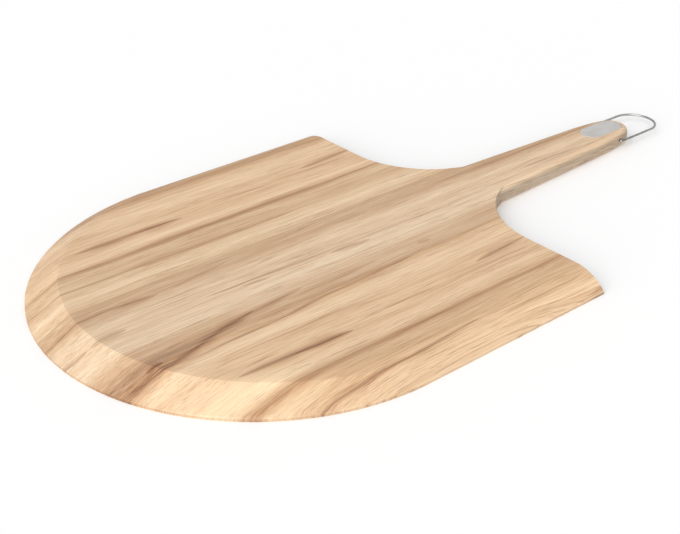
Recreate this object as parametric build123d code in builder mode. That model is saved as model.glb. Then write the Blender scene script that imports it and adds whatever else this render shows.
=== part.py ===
from build123d import *
import math
import os

# Pizza peel: a flat board of edge-glued staves with a bevelled blade and a tapered grip,
# a metal plate let into the grip and a wire hanging loop that pivots in the grip's end.
# Origin: middle of the blade, on the underside.
# +X runs along the grip to the hanging loop, +Y is across the blade, +Z is up.

os.makedirs("parts", exist_ok=True)

# Blade
blade_width = 305.0
blade_rear = 154.0            # from the blade's middle to its square rear edge
board_thickness = 12.8

# Rounded rim of the blade: an arc that starts level with the top and falls to the edge
rim_width = 24.5
edge_thickness = 1.8

# Flat facet planed over the rim round the front, fading out towards the sides
facet_width = 22.5
facet_edge = 1.5              # height of the facet's outer line at the very front
facet_shift = 6.0             # the facet's axis lies this far behind the rim's axis

# The rear edge and the shoulders have their sharp arrises taken off
arris_chamfer = 0.5

# Grip
grip_start = 140.0            # inside the blade, where the grip's bar begins
neck_x = 223.5
neck_half_width = 22.8
grip_end_x = 358.7
turn_length = 41.2            # the last stretch of the grip, which turns in towards the nose
taper_end_half_width = 18.2
nose_inset = 4.7              # the nose's radius is this much under the half width where it turns in
grip_edge_radius = 5.0

# Concave shoulders between the blade's rear edge and the grip
shoulder_radius = 70.0
shoulder_inset = 1.0          # the shoulder ends this far inside the grip's flat top

# Staves: the outer two by their widths, the others by the places of their glue lines
near_edge_width = 36.5
far_edge_width = 23.5
inner_glue_lines = [-53.0, 25.0, 66.0]
stave_names = [
    "near_edge_stave",
    "near_wide_stave",
    "handle_stave",
    "far_light_stave",
    "far_wide_stave",
    "far_edge_stave",
]

# Metal plate in the top of the grip
plate_length = 40.5
plate_side_margin = 3.8       # from the plate's sides to the grip's rounded edges
plate_thickness = 0.8
plate_margin = 5.55           # from the grip's end to the plate's end
plate_clearance = 0.1
plate_edge_chamfer = 0.2

# Hanging loop
wire_radius = 0.9
pivot_margin = 20.2           # from the grip's end to the pivot
leg_gap = 0.55                # between each leg and the side of the grip at the pivot
loop_length = 53.6            # from the pivot to the middle of the wire at the bow
bend_allowance = 0.7          # added to the wire's radius for the bend's middle line
foot_depth = 7.75             # how far each foot reaches into the grip
pivot_clearance = 0.06
foot_gap = 0.6                # between a foot's tip and the bottom of its hole
mouth_depth = 1.3
mouth_rim = 1.3               # the countersink's mouth stands this far outside the hole

half_width = blade_width / 2
glue_lines = [-half_width + near_edge_width, *inner_glue_lines, half_width - far_edge_width]
middle_z = board_thickness / 2

# Blade: half a turn of the rim's section at the front, and the same section
# extruded back to the rear edge
rim_drop = board_thickness - edge_thickness
rim_radius = (rim_width**2 + rim_drop**2) / (2 * rim_drop)
flat_half_width = half_width - rim_width
rim_mid_angle = math.asin(rim_width / rim_radius) / 2
rim_mid_y = flat_half_width + rim_radius * math.sin(rim_mid_angle)
rim_mid_z = board_thickness - rim_radius * (1 - math.cos(rim_mid_angle))

# The grip's side line, and the arc that turns it in to the nose
taper_end_x = grip_end_x - turn_length
nose_radius = taper_end_half_width - nose_inset
taper_angle = math.atan2(neck_half_width - taper_end_half_width, taper_end_x - neck_x)
nose_centre = Vector(grip_end_x - nose_radius, 0)
turn_start = Vector(taper_end_x, taper_end_half_width)
inward = Vector(-math.sin(taper_angle), -math.cos(taper_angle))
from_nose = turn_start - nose_centre
turn_radius = (nose_radius**2 - from_nose.dot(from_nose)) / (
    2 * (from_nose.dot(inward) + nose_radius)
)
turn_centre = turn_start + inward * turn_radius
to_turn_end = (nose_centre - turn_centre).normalized() * nose_radius
turn_end = nose_centre + to_turn_end
nose_mid_angle = math.degrees(math.atan2(to_turn_end.Y, to_turn_end.X)) / 2
nose_mid = nose_centre + Vector(nose_radius, 0).rotate(Axis.Z, nose_mid_angle)
grip_start_half_width = neck_half_width + (neck_x - grip_start) * math.tan(taper_angle)

# Shoulders: arcs that leave the rear edge at a right angle and end along the grip
shoulder_end_half_width = neck_half_width - grip_edge_radius - shoulder_inset
shoulder_centre_x = blade_rear + shoulder_radius
shoulder_centre_y = shoulder_end_half_width + shoulder_radius
shoulder_mid = shoulder_radius * math.sqrt(0.5)

# Facet: a cone whose axis stands behind the rim's, so that it cuts less towards the sides
facet_slope = (board_thickness - facet_edge) / facet_width
facet_radius = half_width + facet_shift
facet_overrun = 10.0
facet_rise = facet_overrun * facet_slope

# Metal plate: its far end keeps a margin from the grip's end
plate_x = grip_end_x - plate_margin - plate_length / 2
plate_width = 2 * (taper_end_half_width - grip_edge_radius - plate_side_margin)

# Hanging loop: its legs lie close beside the grip, and its feet turn in to the holes
pivot_x = grip_end_x - pivot_margin
pivot_from_turn = pivot_x - turn_centre.X
mouth_y = turn_centre.Y + math.sqrt(turn_radius**2 - pivot_from_turn**2)
loop_half_width = mouth_y + leg_gap + wire_radius
bow_centre_x = pivot_x + loop_length - loop_half_width
bend_radius = wire_radius + bend_allowance
hole_radius = wire_radius + pivot_clearance
mouth_radius = hole_radius + mouth_rim
foot_end = mouth_y - foot_depth
hole_bottom = foot_end - foot_gap

with BuildPart() as grip:
    with BuildSketch() as grip_plan:
        with BuildLine():
            Line((grip_start, 0), (grip_start, grip_start_half_width))
            Line((grip_start, grip_start_half_width), turn_start)
            TangentArc(turn_start, turn_end, tangent=(math.cos(taper_angle), -math.sin(taper_angle)))
            ThreePointArc(turn_end, nose_mid, (grip_end_x, 0))
            Line((grip_end_x, 0), (grip_start, 0))
        make_face()
        mirror(about=Plane.XZ)
    extrude(amount=board_thickness)
    flat_faces = grip.faces().filter_by(Axis.Z)
    start_face = grip.faces().sort_by(Axis.X)[0]
    fillet(flat_faces.edges() - start_face.edges(), radius=grip_edge_radius)

with BuildPart() as shoulders:
    with BuildSketch() as shoulder_plan:
        with BuildLine():
            Polyline(
                (shoulder_centre_x, 0),
                (grip_start, 0),
                (grip_start, shoulder_centre_y),
                (blade_rear, shoulder_centre_y),
            )
            ThreePointArc(
                (blade_rear, shoulder_centre_y),
                (shoulder_centre_x - shoulder_mid, shoulder_centre_y - shoulder_mid),
                (shoulder_centre_x, shoulder_end_half_width),
            )
            Line((shoulder_centre_x, shoulder_end_half_width), (shoulder_centre_x, 0))
        make_face()
        mirror(about=Plane.XZ)
    extrude(amount=board_thickness)
    chamfer(shoulders.edges().filter_by(GeomType.CIRCLE), length=arris_chamfer)

with BuildPart() as board:
    # front half of the blade: the rim's section turned half a turn
    with BuildSketch(Plane.YZ) as rim_section:
        with BuildLine():
            Polyline((0, board_thickness), (0, 0), (half_width, 0), (half_width, edge_thickness))
            ThreePointArc(
                (half_width, edge_thickness),
                (rim_mid_y, rim_mid_z),
                (flat_half_width, board_thickness),
            )
            Line((flat_half_width, board_thickness), (0, board_thickness))
        make_face()
    revolve(axis=Axis.Z, revolution_arc=180)

    # rear half of the blade: the same section on both sides, straight back to the rear edge
    with BuildSketch(Plane.YZ) as blade_section:
        add(rim_section.sketch_local)
        mirror(about=Plane.YZ)
    extrude(amount=blade_rear)
    rear_face = board.faces().sort_by(Axis.X)[-1]
    chamfer(rear_face.edges(), length=arris_chamfer)

    # facet planed round the front
    with BuildSketch(Plane.YZ.offset(facet_shift)) as facet_section:
        with BuildLine():
            Polyline(
                (facet_radius + facet_overrun, facet_edge - facet_rise),
                (facet_radius - facet_width - facet_overrun, board_thickness + facet_rise),
                (facet_radius + facet_overrun, board_thickness + facet_rise),
                close=True,
            )
        make_face()
    revolve(
        axis=Axis((facet_shift, 0, 0), (0, 0, 1)),
        revolution_arc=180,
        mode=Mode.SUBTRACT,
    )

    # shoulders, which run into the grip
    add(shoulders.part)
    add(grip.part)

    # pocket for the metal plate
    with BuildSketch(Plane.XY.offset(board_thickness)) as pocket_plan:
        with Locations((plate_x, 0)):
            SlotOverall(plate_length + 2 * plate_clearance, plate_width + 2 * plate_clearance)
    extrude(amount=-plate_thickness, mode=Mode.SUBTRACT)

    # blind holes for the loop's feet, with a countersunk mouth in each side of the grip
    for side in (-1, 1):
        with BuildSketch(Plane.XY.offset(middle_z)) as hole_section:
            with BuildLine():
                Polyline(
                    (pivot_x, side * hole_bottom),
                    (pivot_x + hole_radius, side * hole_bottom),
                    (pivot_x + hole_radius, side * (mouth_y - mouth_depth)),
                    (pivot_x + mouth_radius, side * mouth_y),
                    (pivot_x + mouth_radius, side * (mouth_y + mouth_depth)),
                    (pivot_x, side * (mouth_y + mouth_depth)),
                    close=True,
                )
            make_face()
        revolve(axis=Axis((pivot_x, 0, middle_z), (0, 1, 0)), mode=Mode.SUBTRACT)

# Staves: the board sawn along its glue lines
glue_line_bounds = [-half_width] + glue_lines + [half_width]
for index, stave_name in enumerate(stave_names):
    low_y = glue_line_bounds[index]
    high_y = glue_line_bounds[index + 1]
    with BuildPart() as stave:
        with BuildSketch() as stave_strip:
            with Locations(((grip_end_x - half_width) / 2, (low_y + high_y) / 2)):
                Rectangle(grip_end_x + half_width, high_y - low_y)
        extrude(amount=board_thickness)
        add(board.part, mode=Mode.INTERSECT)
    stave.part.label = stave_name
    export_step(stave.part, f"parts/{stave_name}.step")

with BuildPart() as badge_plate:
    with BuildSketch(Plane.XY.offset(board_thickness - plate_thickness)) as plate_plan:
        with Locations((plate_x, 0)):
            SlotOverall(plate_length, plate_width)
    extrude(amount=plate_thickness)
    chamfer(badge_plate.faces().sort_by(Axis.Z)[-1].edges(), length=plate_edge_chamfer)
badge_plate.part.label = "badge_plate"
export_step(badge_plate.part, "parts/badge_plate.step")

with BuildPart() as hanging_loop:
    with BuildLine(Plane.XY.offset(middle_z)) as loop_route:
        near_foot = Line((pivot_x, -foot_end), (pivot_x, -loop_half_width + bend_radius))
        near_bend = JernArc(start=near_foot @ 1, tangent=(0, -1), radius=bend_radius, arc_size=90)
        near_leg = Line(near_bend @ 1, (bow_centre_x, -loop_half_width))
        bow = JernArc(start=near_leg @ 1, tangent=(1, 0), radius=loop_half_width, arc_size=180)
        far_leg = Line(bow @ 1, (pivot_x + bend_radius, loop_half_width))
        far_bend = JernArc(start=far_leg @ 1, tangent=(-1, 0), radius=bend_radius, arc_size=90)
        far_foot = Line(far_bend @ 1, (pivot_x, foot_end))
    with BuildSketch(Plane(origin=near_foot @ 0, z_dir=near_foot % 0)) as wire_section:
        Circle(wire_radius)
    sweep()
hanging_loop.part.label = "hanging_loop"
export_step(hanging_loop.part, "parts/hanging_loop.step")
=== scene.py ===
import math
import bpy
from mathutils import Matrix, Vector

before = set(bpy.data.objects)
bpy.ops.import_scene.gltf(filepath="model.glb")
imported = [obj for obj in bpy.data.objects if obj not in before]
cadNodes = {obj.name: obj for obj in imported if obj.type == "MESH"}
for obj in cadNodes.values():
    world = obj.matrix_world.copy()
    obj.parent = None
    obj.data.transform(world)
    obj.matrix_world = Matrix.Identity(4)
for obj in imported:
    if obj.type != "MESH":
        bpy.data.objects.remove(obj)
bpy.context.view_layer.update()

print("frame loaded:", ", ".join(sorted(cadNodes)))


# Small helpers for the materials. Lengths inside a material are millimetres.

def colour(red, green, blue):
    # screen colour, 0 to 255, as the linear colour that sockets take
    steps = [value / 255 for value in (red, green, blue)]
    return [s / 12.92 if s <= 0.04045 else ((s + 0.055) / 1.055) ** 2.4 for s in steps] + [1]


def fill(tree, socket, value):
    if isinstance(value, bpy.types.NodeSocket):
        tree.links.new(value, socket)
    else:
        socket.default_value = value


def calc(tree, operation, *values, clamp=False):
    node = tree.nodes.new("ShaderNodeMath")
    node.operation = operation
    node.use_clamp = clamp
    for index, value in enumerate(values):
        fill(tree, node.inputs[index], value)
    return node.outputs[0]


def step(tree, value, low, high):
    # 0 below low, 1 above high, soft between; high may be the smaller one
    node = tree.nodes.new("ShaderNodeMapRange")
    node.interpolation_type = "SMOOTHSTEP"
    fill(tree, node.inputs["Value"], value)
    node.inputs["From Min"].default_value = low
    node.inputs["From Max"].default_value = high
    return node.outputs["Result"]


def blendColour(tree, factor, first, second, mode="MIX"):
    node = tree.nodes.new("ShaderNodeMix")
    node.data_type = "RGBA"
    node.blend_type = mode
    fill(tree, node.inputs[0], factor)
    fill(tree, node.inputs[6], first)
    fill(tree, node.inputs[7], second)
    return node.outputs[2]


def ramp(tree, factor, stops, easing="LINEAR"):
    node = tree.nodes.new("ShaderNodeValToRGB")
    band = node.color_ramp
    band.interpolation = easing
    for index, (place, shade) in enumerate(stops):
        stop = band.elements[index] if index < 2 else band.elements.new(place)
        stop.position = place
        stop.color = shade
    fill(tree, node.inputs[0], factor)
    return node.outputs[0]


def scaled(tree, vector, stretch, shift=(0, 0, 0)):
    node = tree.nodes.new("ShaderNodeMapping")
    fill(tree, node.inputs["Vector"], vector)
    node.inputs["Scale"].default_value = stretch
    node.inputs["Location"].default_value = shift
    return node.outputs[0]


def cloud(tree, vector, stretch, detail=2.0, rough=0.5, shift=(0, 0, 0)):
    # noise that changes about once per 1 / stretch millimetres along each axis
    node = tree.nodes.new("ShaderNodeTexNoise")
    fill(tree, node.inputs["Vector"], scaled(tree, vector, stretch, shift))
    node.inputs["Scale"].default_value = 1.0
    node.inputs["Detail"].default_value = detail
    node.inputs["Roughness"].default_value = rough
    return node.outputs[0]


def startMaterial(name):
    material = bpy.data.materials.new(name)
    material.use_nodes = True
    tree = material.node_tree
    shader = next(n for n in tree.nodes if n.type == "BSDF_PRINCIPLED")
    place = tree.nodes.new("ShaderNodeTexCoord").outputs["Object"]
    return material, tree, shader, scaled(tree, place, (1000, 1000, 1000))


def addBump(tree, shader, height, depth, strength):
    node = tree.nodes.new("ShaderNodeBump")
    node.inputs["Strength"].default_value = strength
    node.inputs["Distance"].default_value = depth
    fill(tree, node.inputs["Height"], height)
    tree.links.new(node.outputs[0], shader.inputs["Normal"])


def dress(name, material):
    mesh = cadNodes[name].data
    mesh.materials.clear()
    mesh.materials.append(material)


# A noise is its stretch along the three axes, detail and roughness. A range is where a
# soft step begins and ends.
woodLook = {
    "thickness": 12.8,
    "halfWidth": 152.5,
    "shades": [(0.0, colour(240, 216, 187)), (0.22, colour(229, 201, 169)),
               (0.48, colour(214, 182, 148)), (0.76, colour(196, 160, 125)),
               (1.0, colour(158, 116, 84))],
    "toneScale": 0.76,
    "toneLift": 0.05,
    "driftNoise": ((0.011, 0.035, 0.035), 2.5),
    "wander": 2.2,               # how far a growth layer strays from its line
    "gripLean": 3,               # how much more the layers lean in the grip
    "gripRange": (60, 150),
    "flowNoise": ((0.008, 0.26, 0.03), 3, 0.55),
    "flowDepth": 0.34,
    "fibreNoise": ((0.025, 1.3, 0.12), 4, 0.7),
    "fibreDepth": 0.48,
    "hairNoise": ((0.022, 2.2, 0.3), 2, 0.65),
    "hairRange": (0.54, 0.63),
    "hairDepth": 0.5,
    "hairColour": colour(168, 128, 96),
    "fleckRange": (0.46, 0.37),
    "fleckDepth": 0.26,
    "fleckColour": colour(246, 226, 201),
    "feather": 2.4,              # how ragged the fibres make a mark's sides
    "patchFeather": 0.3,
    "patchRange": (1.2, 0.1),
    "patchColour": colour(252, 230, 197),
    "heartRange": (1.1, -0.3),
    "markColour": colour(98, 52, 34),
    "threadBase": 0.62,          # a mark's depth between its hairs, and what a hair adds
    "threadGain": 0.35,
    "haloRange": (2.8, 0.0),
    "haloDepth": 0.55,
    "haloColour": colour(172, 122, 82),
    "poreNoise": ((0.055, 1.8, 0.2), 2, 0.6),
    "poreRange": (0.56, 0.68),
    "poreDepth": 0.42,
    "poreColour": colour(140, 98, 70),
    "crowdNoise": ((0.008, 0.14, 0.03), 1),
    "crowdRange": (0.35, 0.65),
    "sparsePores": 0.2,
    # painted shade for upright faces: where faces turn upright, and the grey multiplied onto
    # them
    "sideShadeRange": (0.88, 0.25),
    "sideShadeColour": colour(201, 203, 207),
    "thinEdge": 0.45,            # share of the painted side shade and of the end-grain darkening that the blade's thin edge gets
    "thinEdgeTop": (1.9, 2.6),
    "rearRange": (130, 150),     # behind this the edge is thick all the way down
    "endRange": (0.6, 0.97),
    "endDepth": 0.9,
    "endColour": colour(226, 200, 174),
    "dotNoise": ((0.3, 2.6, 2.6), 3, 0.6),
    "dotRange": (0.5, 0.66),
    "dotDepth": 0.6,
    "glueRange": (0.32, 0.05),
    "glueDepth": 0.5,
    "glueColour": colour(146, 106, 76),
    "roughness": (0.44, 0.66),
    "specular": 0.35,
    "fibreHeight": 0.6,
    "poreHeight": 0.8,
    "bumpDepth": 0.00012,
    "bumpStrength": 0.5,
}

# Pointed marks in the wood: start x, y, end x, y, half the greatest width, strength
knotFigure = [
    (-230, -51, -50, -48, 8.5, 0.6),
    (-215, -63.4, -98, -58.8, 5.4, 1.0),
    (-200, -60, -96, -56.8, 3.6, 1.0),
    (-190, -54.5, -104, -54.5, 2.2, 0.7),
    (-180, -50.5, -104, -52.5, 1.8, 0.55),
    (-114, -59.5, -82, -52.0, 3.8, 1.0),
    (-96, -55, -66, -46.8, 3.8, 0.95),
    (-80, -50.5, -40, -42, 3.8, 0.95),
    (-125, -54.5, -113, -53.5, 5.2, 1.0),
    (-128, -48, -78, -50.5, 2.4, 0.6),
    (-60, -46, 0, -39.5, 2.4, 0.55),
    (-20, -46, 60, -43, 2.0, 0.35),
    (-104, -62.3, -20, -59.5, 1.5, 0.55),
    (-34, -60.5, 14, -54.5, 1.7, 0.6),
    (0, -56, 80, -53.2, 1.5, 0.5),
]

# Each stave: darkness 0 to 1 at places across it, how far its layers lean over the
# thickness, its pale patches and its dark marks
staves = {
    "near_edge_stave": {
        "tint": (255, 249, 240),
        "edges": (-152.5, -116),
        "tones": [(-152.5, 0.28), (-142, 0.3), (-137, 0.5), (-131, 0.62), (-124, 0.56),
                  (-120, 0.66), (-117.5, 0.95), (-116, 1.0)],
        "lean": 0.15,
        "patches": [(-125, -123, -45, -127, 7, 0.3)],
        "marks": [(-80, -135.5, 20, -138.3, 1.5, 0.7), (-10, -138, 60, -134.5, 1.4, 0.6),
                  (70, -139, 150, -137, 1.2, 0.4), (60, -146, 130, -145, 0.9, 0.25),
                  (-160, -117.2, 160, -116.6, 2.0, 0.28)],
        "seed": 3,
    },
    "near_wide_stave": {
        "tint": (255, 249, 240),
        "edges": (-116, -53),
        "tones": [(-116, 0.98), (-113.5, 0.62), (-109, 0.24), (-105, 0.22), (-101, 0.36),
                  (-95, 0.4), (-89, 0.4), (-84, 0.34), (-77, 0.42), (-73, 0.34),
                  (-69, 0.12), (-64, 0.2), (-58, 0.5), (-53, 0.8)],
        "lean": -0.12,
        "patches": [(-175, -95, -45, -108, 17, 0.42), (-150, -73, -85, -76, 7, 0.25)],
        "marks": knotFigure + [
            (-90, -93.5, -24, -95, 2.6, 0.75), (-52, -95, -8, -96, 2.4, 1.0),
            (104, -86, 156, -83, 2.6, 0.72), (20, -90, 70, -92, 1.0, 0.4),
            (60, -92, 150, -93.5, 1.0, 0.35), (70, -88, 130, -88.6, 0.8, 0.35),
            (-60, -75, 40, -75.5, 0.9, 0.4), (-160, -115, 160, -115.2, 1.6, 0.22)],
        "seed": 11,
    },
    "handle_stave": {
        "tint": (253, 253, 251),
        "edges": (-53, 25),
        "tones": [(-53, 0.78), (-47, 0.7), (-41, 0.7), (-36, 0.56), (-30, 0.3),
                  (-25, 0.18), (-18, 0.3), (-10, 0.36), (-4, 0.36), (0, 0.22),
                  (4, 0.36), (8, 0.62), (12, 0.82), (20, 0.78), (25, 0.84)],
        "lean": -0.13,
        "marks": knotFigure + [
            (-158, 12, -100, 15, 2.2, 0.6), (-112, 15, -74, 10.5, 2.0, 0.6),
            (-66, 11, -16, 17.5, 1.6, 0.4), (-136, -12, -110, -11.5, 2.6, 0.5),
            (-160, -11.5, -136, -12, 1.4, 0.5), (-56, -11.5, 60, -13.5, 0.9, 0.45),
            (40, -17, 74, -18.5, 1.8, 0.5), (60, -14, 160, -17, 0.9, 0.4),
            (-30, -14.5, -8, -17.5, 1.2, 0.4), (92, -44, 104, -45, 1.8, 0.4),
            (-110, 1, 20, 2, 0.7, 0.2), (230, -9, 300, -10, 1.6, 0.35),
            (170, 14, 345, 11.5, 2.4, 0.5), (250, -12.5, 330, -12, 1.0, 0.35)],
        "seed": 27,
    },
    "far_light_stave": {
        "tint": (254, 252, 246),
        "edges": (25, 66),
        "tones": [(25, 0.5), (28, 0.5), (31, 0.38), (35, 0.1), (39, 0.22), (43, 0.48),
                  (47, 0.72), (51, 0.72), (56, 0.6), (60, 0.54), (64, 0.76), (66, 0.82)],
        "lean": -0.15,
        "patches": [(-140, 50, -60, 45, 9, 0.35)],
        "marks": [(-150, 48.5, -20, 47, 2.0, 0.5), (-60, 47.5, 60, 46, 1.6, 0.55),
                  (-30, 57, 60, 56, 2.2, 0.3), (-150, 65, 160, 65.4, 2.0, 0.4)],
        "seed": 41,
    },
    "far_wide_stave": {
        "tint": (255, 249, 240),
        "edges": (66, 129),
        "tones": [(66, 0.84), (69, 0.56), (74, 0.14), (78, 0.34), (84, 0.46), (90, 0.46),
                  (95, 0.38), (104, 0.38), (110, 0.2), (116, 0.18), (122, 0.36),
                  (126, 0.7), (129, 0.95)],
        "lean": 0.14,
        "marks": [(-90, 88.5, -24, 87, 2.6, 0.7), (-52, 87.5, -5, 86, 2.4, 1.0),
                  (104, 96, 156, 99, 2.6, 0.7), (20, 92, 70, 90, 1.0, 0.4),
                  (60, 92.5, 150, 91, 1.0, 0.35), (-160, 67, 160, 66.6, 2.2, 0.45)],
        "seed": 57,
    },
    "far_edge_stave": {
        "tint": (250, 242, 228),
        "edges": (129, 152.5),
        "tones": [(129, 0.95), (134, 0.85), (140, 0.7), (146, 0.6), (152.5, 0.55)],
        "lean": -0.2,
        "marks": [(-90, 138, 60, 140, 1.6, 0.5), (20, 133, 156, 134, 1.4, 0.4)],
        "seed": 73,
    },
}


def markRatio(tree, along, layer, mark):
    # how far a point is from a mark's line, as a share of the mark's half width there
    startX, startY, endX, endY, width = mark[:5]
    part = calc(tree, "DIVIDE", calc(tree, "SUBTRACT", along, startX), endX - startX, clamp=True)
    middle = calc(tree, "MULTIPLY_ADD", part, endY - startY, startY)
    swell = calc(tree, "MULTIPLY", part, calc(tree, "SUBTRACT", 1.0, part))
    taper = calc(tree, "MULTIPLY", swell, 4 * width)     # swell is a quarter at mid length
    away = calc(tree, "ABSOLUTE", calc(tree, "SUBTRACT", layer, middle))
    return calc(tree, "DIVIDE", away, calc(tree, "MAXIMUM", taper, 0.001))


def centred(tree, noise):
    return calc(tree, "SUBTRACT", noise, 0.5)            # a noise lies about 0.5


def strongest(tree, strengths):
    top = strengths[0]
    for strength in strengths[1:]:
        top = calc(tree, "MAXIMUM", top, strength)
    return top


def woodMaterial(name, stave):
    look = woodLook
    material, tree, shader, millimetres = startMaterial(name)
    low, high = stave["edges"]
    seed = (stave["seed"], 0, 0)

    # growth layers: straight lines that lean over the thickness and wander sideways
    split = tree.nodes.new("ShaderNodeSeparateXYZ")
    tree.links.new(millimetres, split.inputs[0])
    along, across, up = split.outputs
    drift = centred(tree, cloud(tree, millimetres, *look["driftNoise"]))
    drift = calc(tree, "MULTIPLY", drift, look["wander"] * 2)
    lean = calc(tree, "MULTIPLY_ADD", step(tree, along, *look["gripRange"]),
                look["gripLean"] * stave["lean"], stave["lean"])
    depth = calc(tree, "MULTIPLY", calc(tree, "SUBTRACT", look["thickness"], up), lean)
    layer = calc(tree, "ADD", calc(tree, "ADD", across, drift), depth)
    join = tree.nodes.new("ShaderNodeCombineXYZ")
    for index, value in enumerate((along, layer, up)):
        tree.links.new(value, join.inputs[index])
    grain = join.outputs[0]

    # broad tone across the stave, then long streaks, then single fibres
    share = calc(tree, "DIVIDE", calc(tree, "SUBTRACT", layer, low), high - low, clamp=True)
    stops = [((y - low) / (high - low), [tone, tone, tone, 1]) for y, tone in stave["tones"]]
    tone = ramp(tree, share, stops, "EASE")
    flow = cloud(tree, grain, *look["flowNoise"], shift=seed)
    fibre = cloud(tree, grain, *look["fibreNoise"], shift=seed)
    tone = calc(tree, "MULTIPLY_ADD", centred(tree, flow), look["flowDepth"] * 2, tone)
    tone = calc(tree, "MULTIPLY_ADD", centred(tree, fibre), look["fibreDepth"] * 2, tone)
    tone = calc(tree, "MULTIPLY_ADD", tone, look["toneScale"], look["toneLift"], clamp=True)
    wood = ramp(tree, tone, look["shades"])

    # fine dark hairs and pale flecks
    hair = cloud(tree, grain, *look["hairNoise"], shift=seed)
    hairs = step(tree, hair, *look["hairRange"])
    wood = blendColour(tree, calc(tree, "MULTIPLY", hairs, look["hairDepth"]),
                       wood, look["hairColour"])
    flecks = calc(tree, "MULTIPLY", step(tree, hair, *look["fleckRange"]), look["fleckDepth"])
    wood = blendColour(tree, flecks, wood, look["fleckColour"])

    # pale patches, then pointed dark marks, both feathered by the fibres
    feather = calc(tree, "MULTIPLY", centred(tree, fibre), look["feather"])
    patchFeather = calc(tree, "MULTIPLY", feather, look["patchFeather"])
    for patch in stave.get("patches", ()):
        ratio = calc(tree, "SUBTRACT", markRatio(tree, along, layer, patch), patchFeather)
        cover = calc(tree, "MULTIPLY", step(tree, ratio, *look["patchRange"]), patch[-1])
        wood = blendColour(tree, cover, wood, look["patchColour"])
    hearts, halos = [], []
    for mark in stave["marks"]:
        ratio = calc(tree, "SUBTRACT", markRatio(tree, along, layer, mark), feather)
        hearts.append(calc(tree, "MULTIPLY", step(tree, ratio, *look["heartRange"]), mark[-1]))
        halos.append(calc(tree, "MULTIPLY", step(tree, ratio, *look["haloRange"]), mark[-1]))
    halo = calc(tree, "MULTIPLY", strongest(tree, halos), look["haloDepth"])
    wood = blendColour(tree, halo, wood, look["haloColour"])
    threads = calc(tree, "MULTIPLY_ADD", hairs, look["threadGain"], look["threadBase"])
    heart = calc(tree, "MULTIPLY", strongest(tree, hearts), threads)
    wood = blendColour(tree, heart, wood, look["markColour"])

    # open pores: short dark dashes, closer together in some layers than in others
    pores = step(tree, cloud(tree, grain, *look["poreNoise"], shift=seed), *look["poreRange"])
    crowd = step(tree, cloud(tree, grain, *look["crowdNoise"], shift=seed), *look["crowdRange"])
    sparse = look["sparsePores"]
    pores = calc(tree, "MULTIPLY", pores, calc(tree, "MULTIPLY_ADD", crowd, 1 - sparse, sparse))
    wood = blendColour(tree, calc(tree, "MULTIPLY", pores, look["poreDepth"]),
                       wood, look["poreColour"])

    # painted shade: upright sides are multiplied by a grey so they look shaded, the blade's thin
    # edge less so
    turned = tree.nodes.new("ShaderNodeSeparateXYZ")
    tree.links.new(tree.nodes.new("ShaderNodeTexCoord").outputs["Normal"], turned.inputs[0])
    thick = calc(tree, "MAXIMUM", step(tree, up, *look["thinEdgeTop"]),
                 step(tree, along, *look["rearRange"]))
    thick = calc(tree, "MAXIMUM", thick, look["thinEdge"])
    flatness = calc(tree, "ABSOLUTE", turned.outputs[2])
    uprightShade = calc(tree, "MULTIPLY", step(tree, flatness, *look["sideShadeRange"]), thick)
    wood = blendColour(tree, uprightShade, wood, look["sideShadeColour"], "MULTIPLY")

    # sawn ends: the same layers seen end on, darker again and dotted with open pores
    endOn = step(tree, calc(tree, "ABSOLUTE", turned.outputs[0]), *look["endRange"])
    endOn = calc(tree, "MULTIPLY", endOn, thick)
    wood = blendColour(tree, calc(tree, "MULTIPLY", endOn, look["endDepth"]),
                       wood, look["endColour"], "MULTIPLY")
    dots = step(tree, cloud(tree, grain, *look["dotNoise"], shift=seed), *look["dotRange"])
    dots = calc(tree, "MULTIPLY", calc(tree, "MULTIPLY", dots, endOn), look["dotDepth"])
    wood = blendColour(tree, dots, wood, look["poreColour"])
    wood = blendColour(tree, 1.0, wood, colour(*stave["tint"]), "MULTIPLY")

    # a film of glue where this stave meets the next
    for edge in (low, high):
        if abs(edge) < look["halfWidth"]:
            gap = calc(tree, "ABSOLUTE", calc(tree, "SUBTRACT", across, edge))
            film = calc(tree, "MULTIPLY", step(tree, gap, *look["glueRange"]), look["glueDepth"])
            wood = blendColour(tree, film, wood, look["glueColour"])
    tree.links.new(wood, shader.inputs["Base Color"])

    smooth, dull = look["roughness"]
    halfSpan = (dull - smooth) / 2
    sheen = calc(tree, "MULTIPLY_ADD", fibre, halfSpan, smooth)
    sheen = calc(tree, "MULTIPLY_ADD", pores, halfSpan, sheen)
    tree.links.new(sheen, shader.inputs["Roughness"])
    shader.inputs["Specular IOR Level"].default_value = look["specular"]
    height = calc(tree, "SUBTRACT", calc(tree, "MULTIPLY", fibre, look["fibreHeight"]),
                  calc(tree, "MULTIPLY", pores, look["poreHeight"]))
    addBump(tree, shader, height, look["bumpDepth"], look["bumpStrength"])
    return material


for staveName, stave in staves.items():
    dress(staveName, woodMaterial("Oiled_wood_" + staveName, stave))
print("staves dressed:", len(staves))


plateLook = {
    "mainNoise": ((0.05, 6.0, 6.0), 4, 0.6),             # brush lines along the grip
    "hazeNoise": ((0.06, 0.12, 0.1), 3),
    "mix": (0.55, 0.5),
    "shades": [(0.3, colour(222, 219, 215)), (0.7, colour(250, 247, 243))],
    "roughness": (0.25, 0.26),                           # what the haze adds, and the least
    "bumpDepth": 0.00002,
    "bumpStrength": 0.35,
}

wireLook = {
    "mainNoise": ((0.4, 3.0, 3.0), 3),                   # lines from drawing the wire
    "hazeNoise": ((0.08, 0.08, 0.3), 4, 0.6),
    "mix": (0.4, 0.7),
    "shades": [(0.35, colour(112, 110, 106)), (0.62, colour(188, 188, 186))],
    "roughness": (0.3, 0.14),
    "bumpDepth": 0.00002,
    "bumpStrength": 0.3,
}


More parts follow.
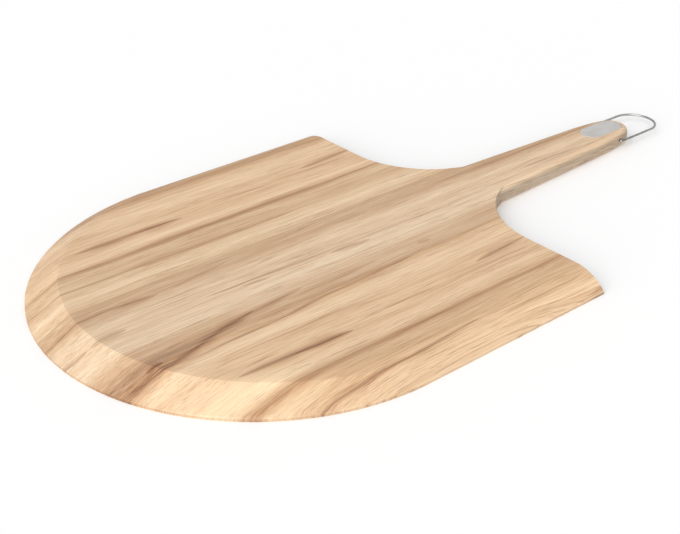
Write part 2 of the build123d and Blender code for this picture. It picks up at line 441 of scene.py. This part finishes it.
def steelMaterial(name, look):
    material, tree, shader, millimetres = startMaterial(name)
    lines = cloud(tree, millimetres, *look["mainNoise"])
    haze = cloud(tree, millimetres, *look["hazeNoise"])
    lineShare, hazeShare = look["mix"]
    mix = calc(tree, "ADD", calc(tree, "MULTIPLY", lines, lineShare),
               calc(tree, "MULTIPLY", haze, hazeShare))
    tree.links.new(ramp(tree, mix, look["shades"]), shader.inputs["Base Color"])
    shader.inputs["Metallic"].default_value = 1.0
    sheen = calc(tree, "MULTIPLY_ADD", haze, *look["roughness"])
    tree.links.new(sheen, shader.inputs["Roughness"])
    addBump(tree, shader, lines, look["bumpDepth"], look["bumpStrength"])
    return material


dress("badge_plate", steelMaterial("Brushed_steel_plate", plateLook))
print("plate dressed")
dress("hanging_loop", steelMaterial("Drawn_steel_wire", wireLook))
print("loop dressed")


studio = {
    "floorColour": colour(250, 250, 250),
    "floorSize": 80.0,
    "floorRoughness": 0.9,
    "floorSpecular": 0.1,
    "skyStrength": 0.62,
    "keyStrength": 2.9,
    "keySpread": 70,             # degrees, how soft the key light is
    "keyFrom": (-0.79, -0.42, 0.46),
    "cameraPlace": (-0.4146, -0.5645, 0.4102),
    "cameraTarget": (0.0454, -0.01629, 0.0),
    "cameraClip": 0.01,
    "sensor": 36,
    "lens": 66.23,
    "shiftX": 0.0066,
}


def aim(item, direction):
    item.rotation_euler = Vector(direction).to_track_quat("-Z", "Y").to_euler()


def makeFloor():
    bpy.ops.mesh.primitive_plane_add(size=studio["floorSize"])
    floor = bpy.context.object
    floor.name = "floor"
    material = bpy.data.materials.new("Pale_floor")
    material.use_nodes = True
    shader = next(n for n in material.node_tree.nodes if n.type == "BSDF_PRINCIPLED")
    shader.inputs["Base Color"].default_value = studio["floorColour"]
    shader.inputs["Roughness"].default_value = studio["floorRoughness"]
    shader.inputs["Specular IOR Level"].default_value = studio["floorSpecular"]
    floor.data.materials.append(material)


def makeLights():
    world = bpy.data.worlds.new("Soft_room")
    world.use_nodes = True
    tree = world.node_tree
    sky = tree.nodes["Background"]
    sky.inputs["Color"].default_value = (1, 1, 1, 1)
    # the backdrop shows white, but lights the room less than that
    seen = tree.nodes.new("ShaderNodeLightPath").outputs["Is Camera Ray"]
    backdrop = calc(tree, "MULTIPLY_ADD", seen, 1 - studio["skyStrength"], studio["skyStrength"])
    tree.links.new(backdrop, sky.inputs["Strength"])
    bpy.context.scene.world = world
    key = bpy.data.lights.new("Key", "SUN")
    key.energy = studio["keyStrength"]
    key.angle = math.radians(studio["keySpread"])
    keyObject = bpy.data.objects.new("Key", key)
    bpy.context.scene.collection.objects.link(keyObject)
    aim(keyObject, -Vector(studio["keyFrom"]))


def makeCamera():
    camera = bpy.data.cameras.new("Camera")
    camera.lens = studio["lens"]
    camera.sensor_width = studio["sensor"]
    camera.shift_x = studio["shiftX"]
    camera.clip_start = studio["cameraClip"]
    view = bpy.data.objects.new("Camera", camera)
    bpy.context.scene.collection.objects.link(view)
    view.location = studio["cameraPlace"]
    aim(view, Vector(studio["cameraTarget"]) - Vector(studio["cameraPlace"]))
    bpy.context.scene.camera = view


makeFloor()
makeLights()
makeCamera()
bpy.context.scene.view_settings.view_transform = "Standard"
print("floor, light and camera ready")
